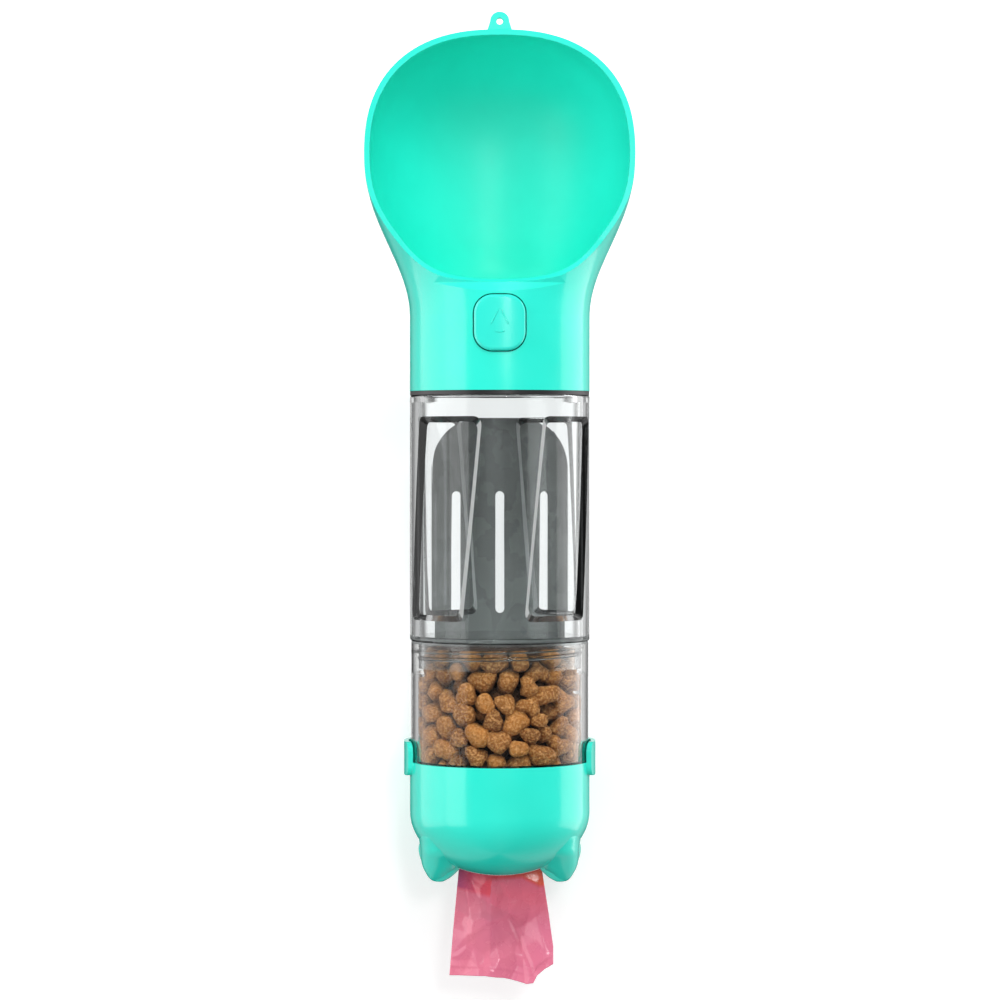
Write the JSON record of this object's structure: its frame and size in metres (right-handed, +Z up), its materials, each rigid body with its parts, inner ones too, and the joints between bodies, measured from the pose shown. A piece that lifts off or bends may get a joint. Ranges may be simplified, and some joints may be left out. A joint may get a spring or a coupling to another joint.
{
  "type": "pet travel water bottle",
  "caption": "Pet travel bottle with a drinking bowl on top, a push-button valve, a gripped water bottle, a screwed food jar, a waste-bag base with ear feet and a slotted scoop held at the back.",
  "frame": {"origin": "centre of the hang hole in the tab at the top of the bowl", "axes": "+Z up along the bottle's axis, the button and the bowl's opening look along -Y, and the hang hole runs along Y"},
  "size_m": [0.0968, 0.0705, 0.35],
  "materials": {
    "teal_shell": "gloss",
    "teal_button": "gloss",
    "inner_plastic": "satin",
    "steel": "satin",
    "black_rubber": "satin",
    "clear_rubber": "satin",
    "clear_plastic": "clear gloss",
    "food": "rough",
    "grey_plastic": "satin",
    "pink_film": "satin",
    "card": "matte"
  },
  "bodies": {
    "head": {"head_shell": "teal_shell", "valve_body": "inner_plastic", "valve_plug": "inner_plastic", "plug_o_ring": "black_rubber", "rod_o_ring": "black_rubber", "neck_gasket": "clear_rubber", "button_spring": "steel"},
    "button": {"button_cap": "teal_button", "push_rod": "steel", "valve_washer": "black_rubber", "washer_clip": "inner_plastic"},
    "bottle_ring": {"head_seal_ring": "black_rubber"},
    "bottle": {"water_bottle": "clear_plastic"},
    "jar_ring": {"food_seal": "clear_rubber"},
    "jar": {"food_container": "clear_plastic", "kibble": "food"},
    "base": {"bag_box": "teal_shell"},
    "scoop": {"scoop": "grey_plastic"},
    "roll": {"bag_roll": "pink_film", "roll_core": "card"},
    "bag": {"bag_tail": "pink_film"}
  },
  "joints": [
    {"name": "button_push", "type": "slide", "parent": "head", "child": "button", "axis": [0, 1, 0], "range_m": [0, 0.0025], "stiffness_N_per_m": 900, "springref_m": -0.0015, "deforming": ["button_spring"]},
    {"name": "bottle_lift", "type": "slide", "parent": "head", "child": "bottle_ring", "axis": [0, 0, -1], "range_m": [0, 0.006]},
    {"name": "bottle_turn", "type": "hinge", "parent": "bottle_ring", "child": "bottle", "pos_m": [0, 0.01082, -0.1334], "axis": [0, 0, -1], "range_deg": [0, 540.1]},
    {"name": "jar_lift", "type": "slide", "parent": "bottle", "child": "jar_ring", "axis": [0, 0, -1], "range_m": [0, 0.006]},
    {"name": "jar_turn", "type": "hinge", "parent": "jar_ring", "child": "jar", "pos_m": [0, 0.01082, -0.2226], "axis": [0, 0, -1], "range_deg": [0, 540.1]},
    {"name": "base_turn", "type": "hinge", "parent": "jar", "child": "base", "pos_m": [0, 0.01082, -0.2653], "axis": [0, 0, -1], "range_deg": [0, 30]},
    {"name": "scoop_lift", "type": "slide", "parent": "base", "child": "scoop", "axis": [0, 0, 1], "range_m": [0, 0.0139]},
    {"name": "roll_turn", "type": "hinge", "parent": "base", "child": "roll", "pos_m": [0, 0.00382, -0.2873], "axis": [-1, 0, 0], "range_deg": [0, 68.8]},
    {"name": "bag_pull", "type": "slide", "parent": "base", "child": "bag", "axis": [0, 0, -1], "range_m": [0, 0.012]}
  ],
  "couplings": [
    {"joint": "bottle_turn", "follows": "bottle_lift", "rad_per_m": 1570.8},
    {"joint": "jar_turn", "follows": "jar_lift", "rad_per_m": 1570.8},
    {"joint": "roll_turn", "follows": "bag_pull", "rad_per_m": 100}
  ]
}
